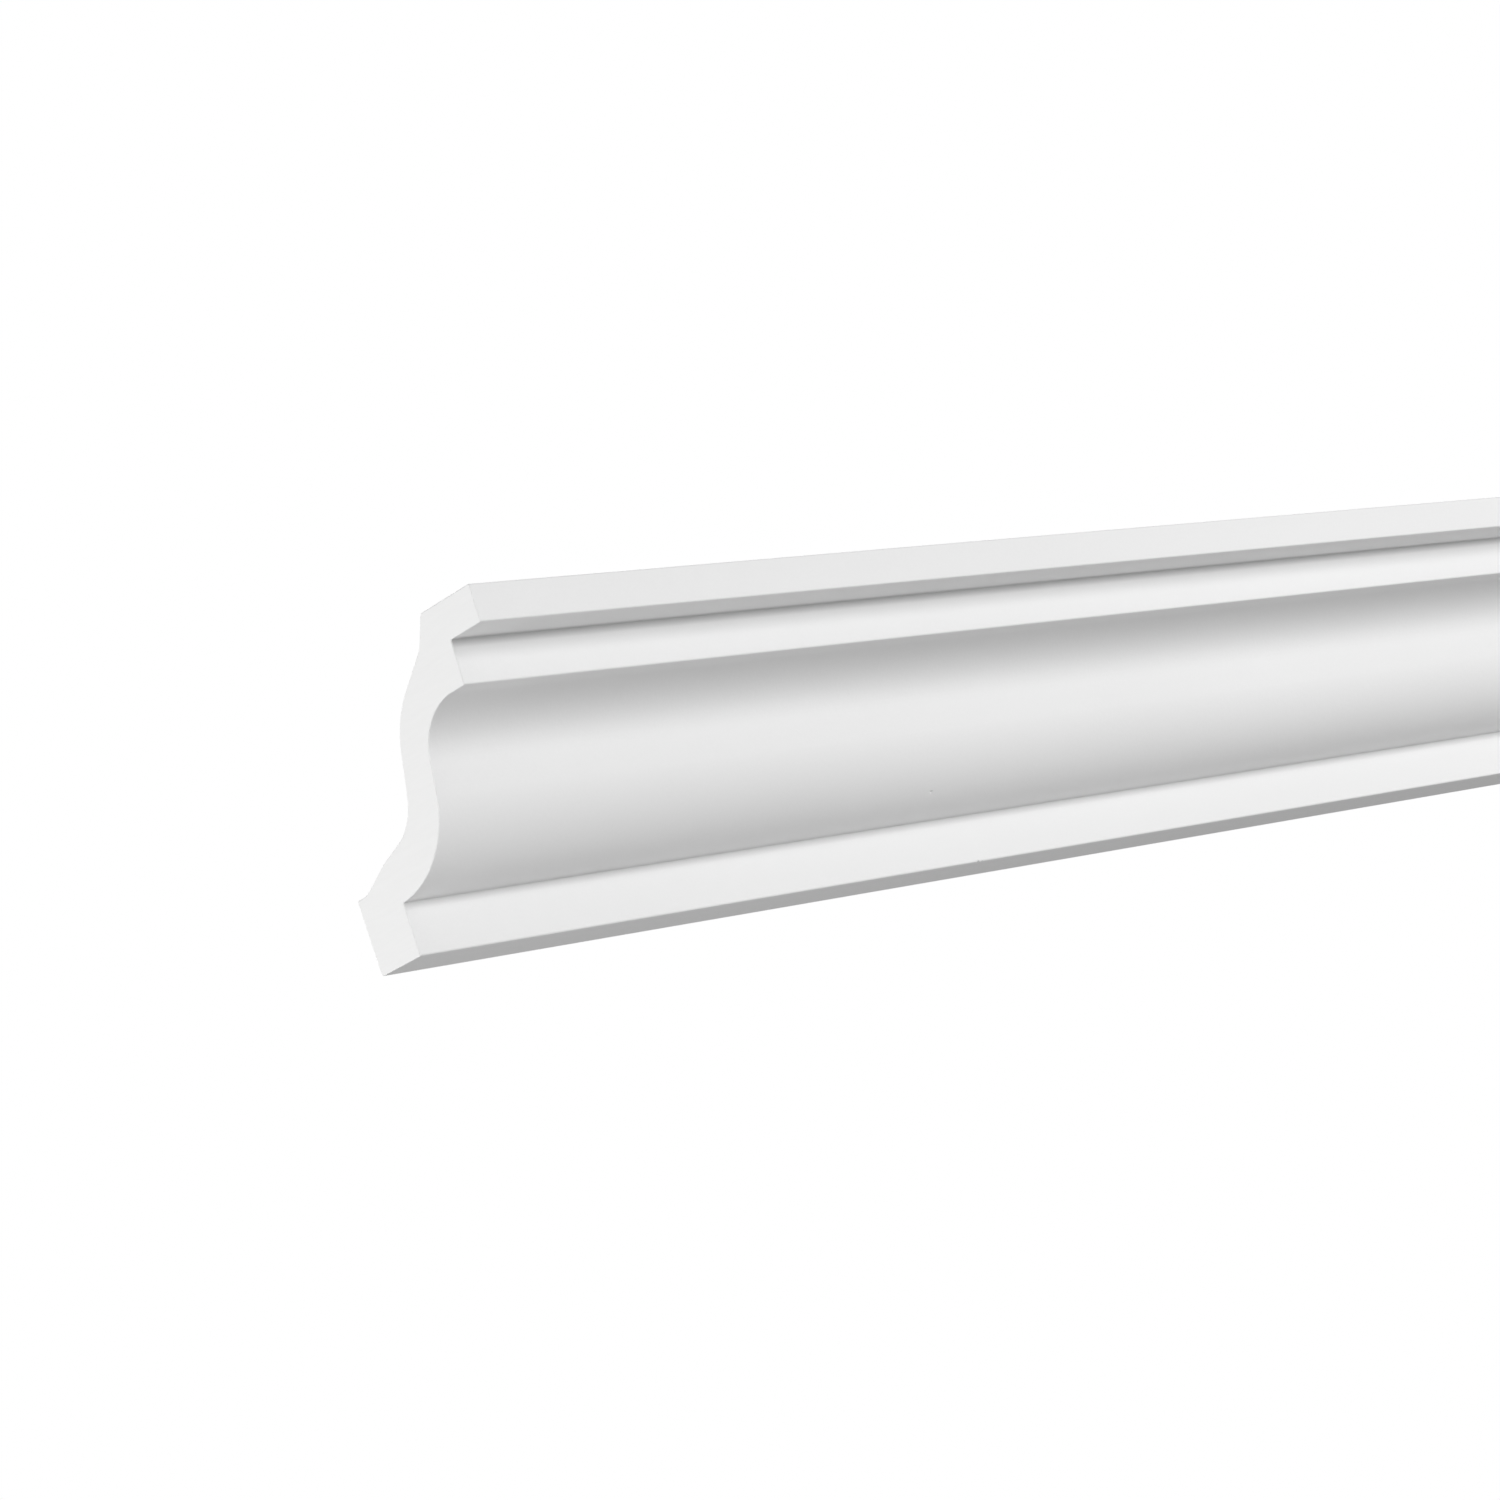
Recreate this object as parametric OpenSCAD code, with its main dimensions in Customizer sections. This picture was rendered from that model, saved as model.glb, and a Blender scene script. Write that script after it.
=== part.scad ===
// Crown moulding, one length, cast in one piece and cut square at both ends.
// From the ceiling down: a cap fillet, a groove, a band fillet, a hollow that turns into
// a belly, and a plain foot. The back is relieved, so only two flats touch the building:
// one on the wall and one on the ceiling.
//
// The section is drawn as [out from the wall, up from the foot's underside] and is run
// along X. The front faces -Y, the wall is on the +Y side, and +Z is up. The origin is
// the centre of the flat that lies on the wall.

/* [Overall] */
// Length of the piece
length = 1000; // [200:10:2400]
// Height on the wall, from the ceiling to the foot's underside
height = 100; // [83:1:150]
// Projection along the ceiling, from the wall to the face of the cap
projection = 96; // [80:1:140]

/* [Fixing flats] */
// Height of the flat that lies on the wall
wall_flat = 26.5; // [21:0.5:32]
// Depth of the flat that lies on the ceiling
ceiling_flat = 25.2; // [20:0.1:32]

/* [Cap and band] */
// Height of the cap, the fillet under the ceiling
cap_h = 13; // [8:0.5:18]
// Depth of the groove, from the foot of the cap back to the band
groove_depth = 15.2; // [8:0.1:20]
// Height of the band, the fillet under the groove
band_h = 15.3; // [10:0.1:22]
// Slope of both faces from upright, in degrees
face_draft = 2.5; // [0:0.1:6]
// Depth of the flat soffit between the band and the hollow
soffit = 6.7; // [2:0.1:12]

/* [Hollow and belly] */
// Radius of the hollow
hollow_r = 19.4; // [12:0.1:26]
// Length of the straight between the hollow and the belly
wave_straight = 10.5; // [2:0.5:20]
// How far the lowest point of the belly lies behind the face of the foot
belly_tuck = 1.3; // [0:0.1:4]

/* [Foot] */
// Height of the foot
foot_h = 18.5; // [12:0.5:24]
// Thickness of the foot, from the wall to its face
foot_t = 20.7; // [14:0.1:28]

/* [Back] */
// Thickness of the shell behind the hollow
shell = 13.6; // [9:0.1:17]
// How much thicker the shell is behind the belly
belly_extra = 1.1; // [0:0.1:4]
// How far the curve of the back lies above the curve of the front
back_lift = 2.1; // [0:0.1:4]
// How far the curve of the back lies in front of a curve of even thickness
back_forward = 0.9; // [0:0.1:2]
// Lean of the neck below the ceiling flat, in degrees from upright
neck_lean = 29.5; // [10:0.5:36]
// Slope of the back between the neck and the hollow, in degrees from level
neck_slope = 39; // [30:0.5:44]
// Depth of the ledge above the wall flat
ledge = 5; // [3:0.1:9]
// Distance of the heel of the back from the wall
heel_out = 17.5; // [13:0.5:20]
// How far the heel lies below the belly's back
heel_drop = 2.1; // [0.5:0.1:5]

/* [Rounding] */
// Radius of the outer arrises
arris_r = 0.7; // [0.2:0.1:1.5]
// Radius of the inner corners
corner_r = 0.4; // [0.2:0.1:1.5]
// Radius at the neck
neck_r = 9; // [2:1:14]
// Radius at the heel
heel_r = 29; // [5:1:40]
// Radius at the ledge
ledge_r = 17; // [2:1:20]

/* [Hidden] */

// Longest stretch and largest turn of one step along a drawn arc
arc_run = 1.5;
arc_turn = 18;
// Share of the shorter neighbouring edge that a rounding may take
round_share = 0.45;

// Levels of the mouldings, up from the foot's underside
groove_z = height - cap_h;
soffit_z = groove_z - band_h;

// Distances from the wall
cap_foot = projection - cap_h * tan(face_draft);
band_top = cap_foot - groove_depth;
band_foot = band_top - band_h * tan(face_draft);
ceiling_back = projection - ceiling_flat;

// The hollow leaves the soffit level and the belly reaches its lowest point level, so the
// two radii add up to what closes the wave over its width and height.
wave_w = band_foot - soffit - (foot_t - belly_tuck);
wave_h = soffit_z - foot_h;
belly_r = (wave_w^2 + wave_h^2 - wave_straight^2) / (2 * wave_h) - hollow_r;

// Centres of the front's arcs, and of the back's, which is moved as one
hollow_c = [band_foot - soffit, soffit_z - hollow_r];
belly_c = [foot_t - belly_tuck, foot_h + belly_r];
hollow_back_c = hollow_c + [back_forward, back_lift];
belly_back_c = belly_c + [back_forward, back_lift];
hollow_back_r = hollow_r + shell;
belly_back_r = belly_r - shell - belly_extra;

// The neck, where its own lean meets the slope that leaves the hollow's back
neck = meet(
    [ceiling_back, height],
    270 - neck_lean,
    hollow_back_c + polar(hollow_back_r, 90 + neck_slope),
    neck_slope
);

// The heel, where the back turns towards the ledge over the wall flat
heel = [heel_out, belly_back_c[1] - belly_back_r - heel_drop];

function bearing(v) = atan2(v[1], v[0]);
function polar(r, a) = r * [cos(a), sin(a)];

// Points of an arc, both ends included
function arc(c, r, from, to) =
    let (
        sweep = abs(to - from),
        n = max(1, ceil(sweep / arc_turn), ceil(r * sweep * PI / 180 / arc_run))
    )
    [for (i = [0:n]) c + polar(r, from + (to - from) * i / n)];

// Where a line through p at bearing a meets a line through q at bearing b
function meet(p, a, q, b) =
    p + polar(cross(q - p, polar(1, b)) / cross(polar(1, a), polar(1, b)), a);

// Bearing from the first of two opposed arcs at which the straight between them touches it
function cross_tangent(c1, r1, c2, r2) =
    bearing(c2 - c1) - acos((r1 + r2) / norm(c2 - c1));

// Bearing from an arc's centre at which a line through point p touches it
function point_tangent(p, c, r) = bearing(p - c) + acos(r / norm(p - c));

// Points that stay sharp, as corners of no radius
function sharp(points) = [for (p = points) [p[0], p[1], 0]];

// Corner b between a and c, rounded to radius r where its edges leave room
function rounded(a, b, c, r) =
    let (
        way = bearing(b - a),
        turn = atan2(cross(b - a, c - b), (b - a) * (c - b)),
        side = sign(turn),
        room = round_share * min(norm(b - a), norm(c - b)),
        reach = min(r * tan(abs(turn) / 2), room),
        fit_r = reach / tan(abs(turn) / 2),
        centre = b - polar(reach, way) + polar(fit_r, way + side * 90)
    )
    arc(centre, fit_r, way - side * 90, way - side * 90 + turn);

function point(corners, i) = let (n = len(corners), q = corners[(i + n) % n]) [q[0], q[1]];

// Outline of a loop of corners, each [out, up, radius]
function outline(corners) = [
    for (i = [0:len(corners) - 1])
        let (p = point(corners, i), r = corners[i][2])
        each r == 0 ? [p] : rounded(point(corners, i - 1), p, point(corners, i + 1), r)
];

// Belly and hollow, from the face of the foot up to the soffit
function front_wave() =
    let (touch = cross_tangent(belly_c, belly_r, hollow_c, hollow_r))
    concat(
        arc(belly_c, belly_r, asin(belly_tuck / belly_r) - 90, touch),
        arc(hollow_c, hollow_r, touch + 180, 90)
    );

// Back of the hollow and of the belly, from the neck down to the heel
function back_wave() =
    let (touch = cross_tangent(belly_back_c, belly_back_r, hollow_back_c, hollow_back_r))
    concat(
        arc(hollow_back_c, hollow_back_r, 90 + neck_slope, touch + 180),
        arc(belly_back_c, belly_back_r, touch, point_tangent(heel, belly_back_c, belly_back_r))
    );

// The whole section as corners, from the foot round the front, the ceiling and the back
function section_corners() =
    let (wave = front_wave())
    concat(
        [[0, 0, arris_r], [foot_t, 0, arris_r], [foot_t, wave[0][1], corner_r]],
        sharp([for (i = [1:len(wave) - 1]) wave[i]]),
        [[band_foot, soffit_z, arris_r], [band_top, groove_z, corner_r]],
        [[cap_foot, groove_z, arris_r], [projection, height, arris_r]],
        [[ceiling_back, height, arris_r], [neck[0], neck[1], neck_r]],
        sharp(back_wave()),
        [[heel[0], heel[1], heel_r], [ledge, wall_flat, ledge_r], [0, wall_flat, arris_r]]
    );

// The length of moulding, hung by the centre of its wall flat
module crown_moulding() {
    color("whitesmoke")
    translate([-length / 2, 0, -wall_flat / 2])
    rotate([90, 0, 90])
    linear_extrude(height = length)
    polygon([for (p = outline(section_corners())) [-p[0], p[1]]]);
}

crown_moulding();
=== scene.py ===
"""A crown moulding length in white primed hard foam, cut square at both ends.

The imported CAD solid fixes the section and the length. This script sweeps that same section as a finer
mesh, eases the arrises that the saw left, adds the two small flaws of the surface, and gives the skin,
the back and the cut ends their finishes. X runs along the length, -Y is the front and +Z is up.
"""
import math

import bmesh
import bpy
import numpy as np
from mathutils import Matrix, Vector, noise
from mathutils.geometry import delaunay_2d_cdt


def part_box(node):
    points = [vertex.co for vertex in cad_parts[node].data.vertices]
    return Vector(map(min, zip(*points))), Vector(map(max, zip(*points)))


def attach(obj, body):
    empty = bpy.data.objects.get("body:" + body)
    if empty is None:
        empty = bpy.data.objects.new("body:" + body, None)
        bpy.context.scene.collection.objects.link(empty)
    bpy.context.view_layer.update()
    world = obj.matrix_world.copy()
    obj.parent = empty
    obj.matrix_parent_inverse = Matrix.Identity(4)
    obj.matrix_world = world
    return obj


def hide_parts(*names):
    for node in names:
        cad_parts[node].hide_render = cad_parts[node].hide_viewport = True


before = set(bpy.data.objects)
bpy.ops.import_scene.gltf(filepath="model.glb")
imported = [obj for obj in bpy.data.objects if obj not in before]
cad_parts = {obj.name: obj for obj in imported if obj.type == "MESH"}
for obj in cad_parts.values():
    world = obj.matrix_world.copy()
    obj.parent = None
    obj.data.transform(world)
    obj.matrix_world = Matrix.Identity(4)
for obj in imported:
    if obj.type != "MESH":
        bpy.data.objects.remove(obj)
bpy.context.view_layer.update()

MM = 0.001
NODE = "crown_moulding"

# The sweep: longest step along a straight of the section, and along the length
SECTION_STEP = 2.5 * MM
LENGTH_STEP = 8 * MM
# A row of points this far from each arris keeps the flat faces flat
ARRIS_GUARD = 0.25 * MM
WELD = 0.001 * MM

# The saw cuts: radius left on their arrises, and steps round it
CUT_R = 0.4 * MM
CUT_STEPS = 4

# How far the skin may lie under the true section, and over what length it waves
WAVE_DEPTH = 0.03 * MM
WAVE_RUN = 70 * MM

# Pinhole in the belly: from the near end, above the foot's underside, radius and depth
PIN_ALONG = 251 * MM
PIN_UP = 24.7 * MM
PIN_R = 0.65 * MM
PIN_DEPTH = 1.5 * MM

# Nick in the lower front arris of the foot: two small chips, the first this far from the near end, the
# second this much further on and a smaller share of its radius and depth
NICK_ALONG = 285 * MM
NICK_R = 1.0 * MM
NICK_DEPTH = 0.6 * MM
NICK_GAP = 2.2 * MM
SECOND_R = 0.6
SECOND_DEPTH = 0.7

# Step of the mesh round a flaw, how many of its radii the finer mesh reaches, and how ragged its rim is
FLAW_STEP = 0.22 * MM
FLAW_REACH = 1.5
FLAW_RAGGED = 0.3

# Inner corners: a thin dark line of painted shade, the coat's colour darkened where shade falls. How far
# it reaches, how much darker it is in the groove, and what share of that it is over the foot
CREASE_SHADE_REACH = 2.6 * MM
CREASE_SHADE_DARK = 0.36
FOOT_CREASE_SHADE = 0.5

# The coat's grey on the front, and the mesh's material numbers
COAT_GREY = 0.885
FRONT, BACK, CUT = range(3)


# ---- The section, read from the CAD solid ----

def end_outline(node):
    """The outline of a CAD node's low end, as points (Y, Z) in order round the loop."""
    mesh = bmesh.new()
    mesh.from_mesh(node.data)
    bmesh.ops.remove_doubles(mesh, verts=mesh.verts, dist=WELD)
    end_x = min(v.co.x for v in mesh.verts)

    def on_end(element):
        return all(abs(v.co.x - end_x) < WELD for v in element.verts)

    beside = {}
    for edge in mesh.edges:
        if on_end(edge) and sum(map(on_end, edge.link_faces)) == 1:
            a, b = edge.verts
            beside.setdefault(a, []).append(b)
            beside.setdefault(b, []).append(a)
    walk = [next(iter(beside))]
    walk.append(beside[walk[0]][0])
    while walk[-1] is not walk[0]:
        walk.append(next(v for v in beside[walk[-1]] if v is not walk[-2]))
    loop = np.array([(v.co.y, v.co.z) for v in walk[:-1]])
    mesh.free()
    return loop if turn_area(loop) > 0 else loop[::-1]


def turn_area(loop):
    """Twice the area of a loop, positive when it runs anticlockwise."""
    after = np.roll(loop, -1, axis=0)
    return float(np.sum(loop[:, 0] * after[:, 1] - loop[:, 1] * after[:, 0]))


def edge_turns(loop):
    """The angle between the edges that meet at each point."""
    ahead = np.roll(loop, -1, axis=0) - loop
    behind = loop - np.roll(loop, 1, axis=0)
    cross = behind[:, 0] * ahead[:, 1] - behind[:, 1] * ahead[:, 0]
    return np.abs(np.arctan2(cross, np.sum(behind * ahead, axis=1)))


def finer_curves(loop, most_turn=math.radians(9), like=1.6):
    """Halves the steps of gentle curves, with each new point on the curve through its neighbours."""
    lengths = np.linalg.norm(np.roll(loop, -1, axis=0) - loop, axis=1)
    turns = edge_turns(loop)
    points = []
    for i, here in enumerate(loop):
        before, after, beyond = loop[i - 1], loop[(i + 1) % len(loop)], loop[(i + 2) % len(loop)]
        near = lengths[i - 1], lengths[i], lengths[(i + 1) % len(loop)]
        points.append(here)
        gentle = max(turns[i], turns[(i + 1) % len(loop)]) < most_turn
        if gentle and max(near) < like * min(near):
            points.append((9 * (here + after) - before - beyond) / 16)
    return np.array(points)


def crease_shading(loop):
    """Painted shade at each point by its nearness to a sharp inner corner: 1 in the groove's, less over the
    foot, 0 beyond.
    """
    ahead = np.roll(loop, -1, axis=0) - loop
    behind = loop - np.roll(loop, 1, axis=0)
    inner = ahead[:, 1] * behind[:, 0] - ahead[:, 0] * behind[:, 1] < 0
    turns = np.where(inner, edge_turns(loop), 0)
    turns[loop[:, 1] < np.mean(loop[:, 1])] *= FOOT_CREASE_SHADE
    away = np.linalg.norm(loop[:, None] - loop[None], axis=2)
    near = np.clip(1 - away / CREASE_SHADE_REACH, 0, 1)
    return np.clip(near @ turns / math.radians(90), 0, 1)


def spread(places, gap):
    """The places in order, without those that lie closer than the gap to the one before."""
    places = np.sort(places)
    return places[np.append(True, np.diff(places) > gap)]


def stepped(loop, spots):
    """Adds points along straight edges, and close together beside the flaws."""
    points = []
    for here, after in zip(loop, np.roll(loop, -1, axis=0)):
        run = np.linalg.norm(after - here)
        way = (after - here) / run
        places = list(np.linspace(0, run, math.ceil(run / SECTION_STEP) + 1))
        if run > 4 * ARRIS_GUARD:
            places += [ARRIS_GUARD, run - ARRIS_GUARD]
        if run > 2 * CREASE_SHADE_REACH:
            places += [CREASE_SHADE_REACH, run - CREASE_SHADE_REACH]
        for spot, reach in spots:
            along = np.dot(spot - here, way)
            if np.linalg.norm(here + along * way - spot) < reach:
                places += list(np.arange(max(0, along - reach), min(run, along + reach), FLAW_STEP))
        places = spread(np.array(places), FLAW_STEP / 3)
        points += [here + way * place for place in places if place < run - FLAW_STEP / 3]
    return np.array(points)


def inward(loop):
    """At each point, the way into the material that keeps both edges equally deep."""
    ahead = np.roll(loop, -1, axis=0) - loop
    ahead /= np.linalg.norm(ahead, axis=1)[:, None]
    normals = np.column_stack((-ahead[:, 1], ahead[:, 0]))
    before = np.roll(normals, 1, axis=0)
    return (normals + before) / (1 + np.sum(normals * before, axis=1))[:, None]


# ---- The flaws ----

def at_height(loop, z):
    """The front point of the section at a height."""
    ahead = np.roll(loop, -1, axis=0)
    crossing = (loop[:, 1] - z) * (ahead[:, 1] - z) <= 0
    found = [a + (b - a) * (z - a[1]) / (b[1] - a[1] or 1) for a, b in zip(loop[crossing], ahead[crossing])]
    return min(found, key=lambda p: p[0])


def lower_front_arris(loop):
    """The middle of the rounded arris under the face of the foot: the lowest point, leaning forwards."""
    return loop[np.argmin(loop[:, 0] + 4 * loop[:, 1])]


def flaws(loop, low):
    """Each flaw as (x, point of the section, radius, depth)."""
    arris = lower_front_arris(loop)
    nick_x = low.x + NICK_ALONG
    return [
        (low.x + PIN_ALONG, at_height(loop, low.z + PIN_UP), PIN_R, PIN_DEPTH),
        (nick_x, arris, NICK_R, NICK_DEPTH),
        (nick_x + NICK_GAP, arris, NICK_R * SECOND_R, NICK_DEPTH * SECOND_DEPTH),
    ]


def sunk(points, marks):
    """How deep each surface point lies under the true section: the skin's slow waves, and the flaws."""
    depth = np.array([WAVE_DEPTH * (0.5 + 0.5 * noise.noise(Vector(p) / WAVE_RUN)) for p in points])
    for x, spot, radius, deepest in marks:
        away = np.linalg.norm(points - np.array((x, *spot)), axis=1)
        near = away < 2 * radius
        rough = np.array([noise.noise(Vector(p) / (0.8 * radius)) for p in points[near]])
        share = np.clip(1 - away[near] / (radius * (1 + FLAW_RAGGED * rough)), 0, 1)
        depth[near] += deepest * share * share * (3 - 2 * share)
    return depth


# ---- The moulding ----

def stations(low, high, marks):
    """Where the section is repeated along the length, closer beside the flaws."""
    first, last = low.x + CUT_R, high.x - CUT_R
    places = list(np.linspace(first, last, math.ceil((last - first) / LENGTH_STEP) + 1))
    places += [first + ARRIS_GUARD, last - ARRIS_GUARD]
    for x, _, radius, _ in marks:
        reach = FLAW_REACH * radius
        places += list(np.linspace(x - reach, x + reach, math.ceil(2 * reach / FLAW_STEP) + 1))
    return spread(np.array(places), FLAW_STEP / 3)


def rings(loop, low, high, marks):
    """The section at each station, with the eased arris of a cut before the first and after the last."""
    into = inward(loop)
    angles = [math.radians(a) for a in np.linspace(90, 0, CUT_STEPS + 1)[:-1]]
    eases = [(CUT_R * (1 - math.sin(a)), CUT_R * (1 - math.cos(a))) for a in angles]
    rows = [(low.x + along, inset) for along, inset in eases]
    rows += [(x, 0) for x in stations(low, high, marks)]
    rows += [(high.x - along, inset) for along, inset in reversed(eases)]
    made = []
    for x, inset in rows:
        true = np.column_stack((np.full(len(loop), x), loop))
        depth = sunk(true, marks) + inset
        made.append(np.column_stack((true[:, 0], loop + into * depth[:, None])))
    return np.array(made)


def fill_end(mesh, ring):
    """Closes an end inside its ring of points with flat triangles."""
    flat = [Vector(v.co.yz) for v in ring]
    hoop = [(i, (i + 1) % len(flat)) for i in range(len(flat))]
    _, _, faces, source, _, _ = delaunay_2d_cdt(flat, hoop, [], 1, WELD / 100)
    for corners in faces:
        face = mesh.faces.new([ring[source[c][0]] for c in corners])
        face.material_index = CUT
    for a, b in hoop:
        mesh.edges.get((ring[a], ring[b])).smooth = False


def moulding(name, materials):
    """The whole length as one closed mesh, with its front skin, its back and its cut ends."""
    low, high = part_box(NODE)
    outline = end_outline(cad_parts[NODE])
    marks = flaws(outline, low)
    spots = [(spot, FLAW_REACH * radius) for _, spot, radius, _ in marks]
    loop = stepped(finer_curves(outline), spots)
    rows = rings(loop, low, high, marks)
    count, around = rows.shape[:2]

    # The back looks up and to the wall, so the way into it runs down and forwards
    into = inward(loop)
    is_back = into.sum(axis=1) < 0
    is_back &= np.roll(is_back, -1)
    mesh = bmesh.new()
    verts = [[mesh.verts.new(p) for p in row] for row in rows]
    for i in range(count - 1):
        cut = i < CUT_STEPS or i >= count - 1 - CUT_STEPS
        for j in range(around):
            k = (j + 1) % around
            face = mesh.faces.new((verts[i][j], verts[i][k], verts[i + 1][k], verts[i + 1][j]))
            face.smooth = True
            face.material_index = CUT if cut else BACK if is_back[j] else FRONT
    for ring in (verts[0], verts[-1]):
        fill_end(mesh, ring)
    bmesh.ops.recalc_face_normals(mesh, faces=mesh.faces)

    data = bpy.data.meshes.new(name)
    mesh.to_mesh(data)
    mesh.free()
    # Painted shade for the inner corners, carried at the points for the front's base colour
    crease_shade = data.attributes.new("crease_shade", "FLOAT", "POINT")
    crease_shade.data.foreach_set("value", np.tile(crease_shading(loop), count))
    for material in materials:
        data.materials.append(material)
    piece = bpy.data.objects.new(name, data)
    bpy.context.scene.collection.objects.link(piece)
    return piece


# ---- Materials ----

class Finish:
    """A node material for the object, with its textures laid in the row frame, in metres."""

    def __init__(self, name, specular):
        self.material = bpy.data.materials.new(name)
        self.material.use_nodes = True
        self.nodes = self.material.node_tree.nodes
        self.links = self.material.node_tree.links
        self.shader = self.nodes["Principled BSDF"]
        self.shader.inputs["Specular IOR Level"].default_value = specular
        self.place = self.nodes.new("ShaderNodeTexCoord").outputs["Object"]

    def noise(self, size, detail=2.0, stretch=(1, 1, 1)):
        """Soft noise with marks of about this size."""
        scaled = self.nodes.new("ShaderNodeVectorMath")
        scaled.operation = "MULTIPLY"
        scaled.inputs[1].default_value = stretch
        self.links.new(self.place, scaled.inputs[0])
        node = self.nodes.new("ShaderNodeTexNoise")
        node.inputs["Scale"].default_value = 1 / size
        node.inputs["Detail"].default_value = detail
        self.links.new(scaled.outputs[0], node.inputs["Vector"])
        return node.outputs["Fac"]

    def cells(self, size):
        """Distance to the nearest of scattered points, for the pores of a foam."""
        node = self.nodes.new("ShaderNodeTexVoronoi")
        node.inputs["Scale"].default_value = 1 / size
        self.links.new(self.place, node.inputs["Vector"])
        return node.outputs["Distance"]

    def ranged(self, value, low, high, start=0.3, end=0.7):
        """Maps a value between start and end onto low to high."""
        node = self.nodes.new("ShaderNodeMapRange")
        for socket, number in zip(node.inputs[1:5], (start, end, low, high)):
            socket.default_value = number
        self.links.new(value, node.inputs[0])
        return node.outputs[0]

    def attribute(self, name):
        """A value that the mesh carries at its points."""
        node = self.nodes.new("ShaderNodeAttribute")
        node.attribute_name = name
        return node.outputs["Fac"]

    def math(self, operation, a, b):
        node = self.nodes.new("ShaderNodeMath")
        node.operation = operation
        for socket, value in zip(node.inputs, (a, b)):
            if isinstance(value, (int, float)):
                socket.default_value = value
            else:
                self.links.new(value, socket)
        return node.outputs[0]

    def colour(self, light, dark, mask):
        """Base colour, dark where the mask is 1."""
        mix = self.nodes.new("ShaderNodeMix")
        mix.data_type = "RGBA"
        mix.inputs["A"].default_value = (*light, 1)
        mix.inputs["B"].default_value = (*dark, 1)
        self.links.new(mask, mix.inputs["Factor"])
        self.links.new(mix.outputs["Result"], self.shader.inputs["Base Color"])

    def roughness(self, value):
        self.links.new(value, self.shader.inputs["Roughness"])

    def bump(self, *heights):
        """Relief from (height, depth in metres) pairs, added one on another."""
        normal = None
        for height, depth in heights:
            node = self.nodes.new("ShaderNodeBump")
            node.inputs["Distance"].default_value = depth
            self.links.new(height, node.inputs["Height"])
            if normal:
                self.links.new(normal, node.inputs["Normal"])
            normal = node.outputs["Normal"]
        self.links.new(normal, self.shader.inputs["Normal"])


def primed_skin():
    """The moulded front: white primer with a faint orange peel, and painted shade in the inner corners."""
    finish = Finish("primed_foam_front", specular=0.35)
    cloud = finish.noise(60 * MM, detail=3, stretch=(0.35, 1, 1))
    grain = finish.noise(0.9 * MM)
    mask = finish.math("ADD", finish.ranged(cloud, 0, 0.05), finish.ranged(grain, 0, 0.035))
    # Painted shade: the base colour darkens in the inner corners where shade falls
    mask = finish.math("ADD", mask, finish.attribute("crease_shade"))
    finish.colour((COAT_GREY,) * 3, (COAT_GREY * (1 - CREASE_SHADE_DARK),) * 3, mask)
    finish.roughness(finish.ranged(finish.noise(7 * MM), 0.56, 0.66))
    finish.bump((finish.noise(1.6 * MM), 0.030 * MM), (grain, 0.012 * MM))
    return finish.material


def plain_back():
    """The back and the two fixing flats: the foam's own skin, thinly primed, with scattered pores."""
    finish = Finish("primed_foam_back", specular=0.25)
    cloud = finish.noise(35 * MM, detail=4)
    pores = finish.ranged(finish.cells(2.2 * MM), 1, 0, 0.05, 0.16)
    mask = finish.math("MAXIMUM", finish.ranged(cloud, 0, 0.7), finish.math("MULTIPLY", pores, 0.8))
    finish.colour((0.87, 0.868, 0.86), (0.80, 0.797, 0.785), mask)
    finish.roughness(finish.ranged(cloud, 0.72, 0.85))
    finish.bump((finish.noise(2.6 * MM, detail=3), 0.09 * MM), (pores, -0.12 * MM))
    return finish.material


def sawn_end():
    """The cut ends: the dense core, with fine closed cells and a trace of the saw."""
    finish = Finish("primed_foam_cut", specular=0.2)
    cells = finish.ranged(finish.cells(0.45 * MM), 1, 0, 0.08, 0.3)
    saw = finish.noise(1.1 * MM, stretch=(1, 0.12, 1))
    mask = finish.math("ADD", finish.math("MULTIPLY", cells, 0.35), finish.ranged(saw, 0, 0.4))
    finish.colour((0.895, 0.895, 0.893), (0.865, 0.865, 0.862), mask)
    finish.roughness(finish.ranged(saw, 0.78, 0.9))
    finish.bump((cells, -0.02 * MM), (saw, 0.012 * MM))
    return finish.material


# ---- Camera, light and surroundings ----

# The camera stands below and before the near end, and looks up along the length
CAMERA_AT = Vector((-1.4583, -1.0445, -0.2486))
CAMERA_RIGHT = Vector((0.67557, -0.66268, -0.32320))
CAMERA_UP = Vector((0.08889, -0.36196, 0.92794))
LENS = 104.52

# The floor: a room's height below, where it has faded into the white, its grey, and the glow that keeps
# it pale so far from the lamps
FLOOR_DROP = 2.4
FLOOR_R = 9.0
FLOOR_GREY = 0.5
FLOOR_GLOW = 0.45


def add_camera():
    data = bpy.data.cameras.new("camera")
    data.lens = LENS
    camera = bpy.data.objects.new("camera", data)
    turn = Matrix((CAMERA_RIGHT, CAMERA_UP, CAMERA_RIGHT.cross(CAMERA_UP))).transposed()
    camera.matrix_world = Matrix.Translation(CAMERA_AT) @ turn.to_4x4()
    bpy.context.scene.collection.objects.link(camera)
    bpy.context.scene.camera = camera


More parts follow.
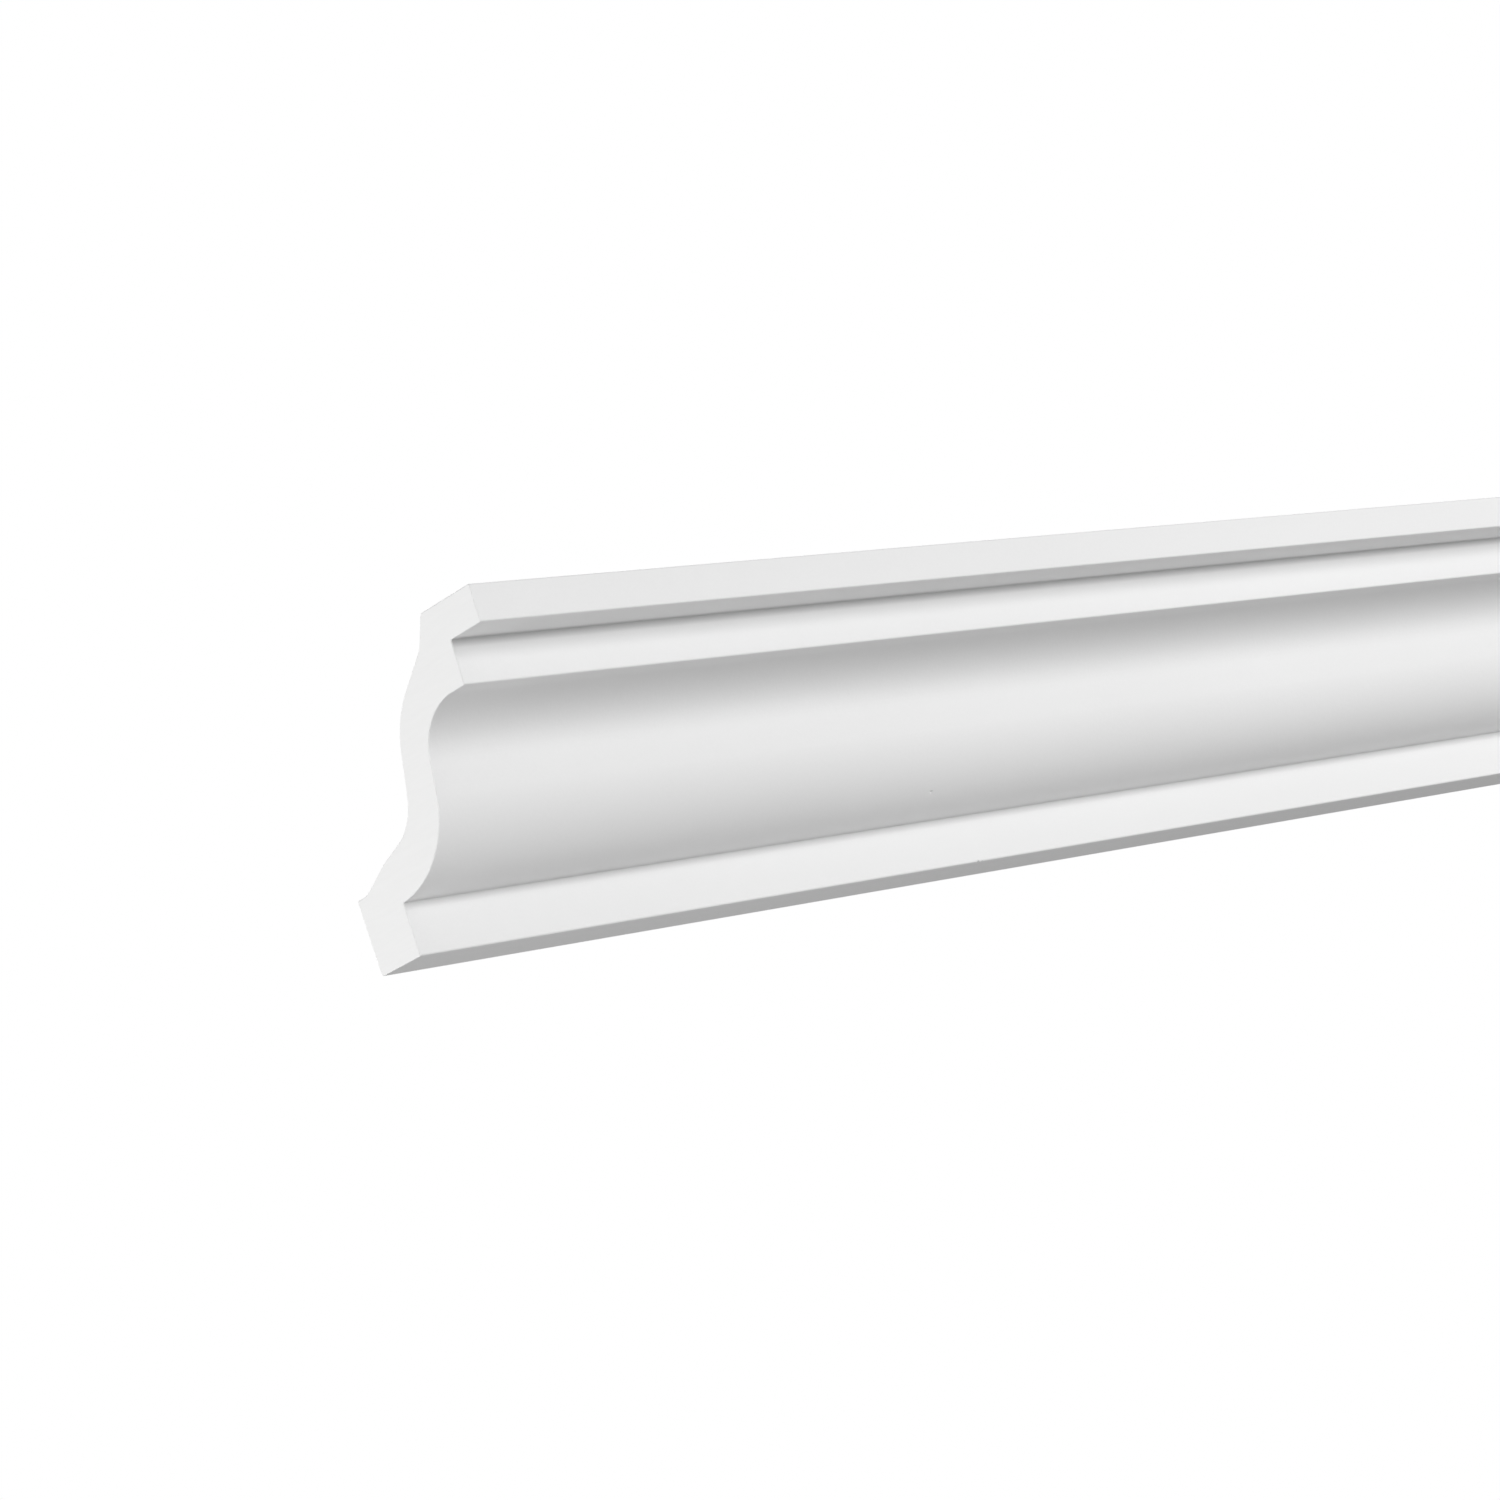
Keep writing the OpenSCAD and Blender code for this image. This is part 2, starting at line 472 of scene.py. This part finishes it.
def studio_dome(low_glow, high_glow):
    """White all round to the camera. The light it sheds is soft, and stronger from below."""
    world = bpy.data.worlds.new("studio")
    bpy.context.scene.world = world
    world.use_nodes = True
    nodes, links = world.node_tree.nodes, world.node_tree.links
    seen = nodes["Background"]
    seen.inputs["Color"].default_value = (1, 1, 1, 1)
    seen.inputs["Strength"].default_value = 1
    shed = nodes.new("ShaderNodeBackground")
    way = nodes.new("ShaderNodeTexCoord")
    parts = nodes.new("ShaderNodeSeparateXYZ")
    rise = nodes.new("ShaderNodeMapRange")
    for socket, number in zip(rise.inputs[1:5], (-1, 1, low_glow, high_glow)):
        socket.default_value = number
    path = nodes.new("ShaderNodeLightPath")
    mix = nodes.new("ShaderNodeMixShader")
    links.new(way.outputs["Generated"], parts.inputs[0])
    links.new(parts.outputs["Z"], rise.inputs[0])
    links.new(rise.outputs[0], shed.inputs["Strength"])
    links.new(path.outputs["Is Camera Ray"], mix.inputs["Fac"])
    links.new(shed.outputs[0], mix.inputs[1])
    links.new(seen.outputs[0], mix.inputs[2])
    links.new(mix.outputs[0], nodes["World Output"].inputs["Surface"])


def softbox(name, at, aim, size, power):
    data = bpy.data.lights.new(name, "AREA")
    data.size = size
    data.energy = power
    lamp = bpy.data.objects.new(name, data)
    lamp.location = at
    lamp.rotation_euler = (Vector(aim) - Vector(at)).to_track_quat("-Z", "Y").to_euler()
    bpy.context.scene.collection.objects.link(lamp)


def floor():
    """A plain pale floor a room's height below, that fades into the white all round."""
    mesh = bmesh.new()
    bmesh.ops.create_circle(mesh, cap_ends=True, radius=FLOOR_R, segments=64)
    data = bpy.data.meshes.new("floor")
    mesh.to_mesh(data)
    mesh.free()
    disc = bpy.data.objects.new("floor", data)
    disc.location = (0, 0, -FLOOR_DROP)
    bpy.context.scene.collection.objects.link(disc)
    material = bpy.data.materials.new("floor")
    material.use_nodes = True
    nodes, links = material.node_tree.nodes, material.node_tree.links
    surface = nodes["Principled BSDF"]
    surface.inputs["Base Color"].default_value = (FLOOR_GREY, FLOOR_GREY, FLOOR_GREY, 1)
    surface.inputs["Roughness"].default_value = 0.9
    surface.inputs["Emission Color"].default_value = (1, 1, 1, 1)
    surface.inputs["Emission Strength"].default_value = FLOOR_GLOW
    place = nodes.new("ShaderNodeTexCoord")
    away = nodes.new("ShaderNodeVectorMath")
    away.operation = "LENGTH"
    fade = nodes.new("ShaderNodeMapRange")
    fade.interpolation_type = "SMOOTHSTEP"
    for socket, number in zip(fade.inputs[1:5], (0.35 * FLOOR_R, FLOOR_R, 1, 0)):
        socket.default_value = number
    links.new(place.outputs["Object"], away.inputs[0])
    links.new(away.outputs["Value"], fade.inputs[0])
    links.new(fade.outputs[0], surface.inputs["Alpha"])
    data.materials.append(material)
    only_seen(disc)


def only_seen(thing):
    """Leaves a stage object to the camera alone, so that it neither lights nor shades the moulding."""
    thing.visible_diffuse = False
    thing.visible_glossy = False
    thing.visible_transmission = False
    thing.visible_shadow = False


bpy.context.scene.view_settings.view_transform = "Standard"
add_camera()
studio_dome(low_glow=0.43, high_glow=0.20)
softbox("front_lamp", at=(0.8, -2.8, 0.52), aim=(-0.2, -0.04, 0.03), size=1.8, power=68)
softbox("side_lamp", at=(-3.1, 0.5, -0.5), aim=(-0.3, -0.04, 0.03), size=3.0, power=75)
softbox("back_lamp", at=(1.2, 2.0, 2.0), aim=(0, -0.04, 0.03), size=2.0, power=64)

piece = moulding("moulding", [primed_skin(), plain_back(), sawn_end()])
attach(piece, "root")
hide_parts(NODE)
floor()
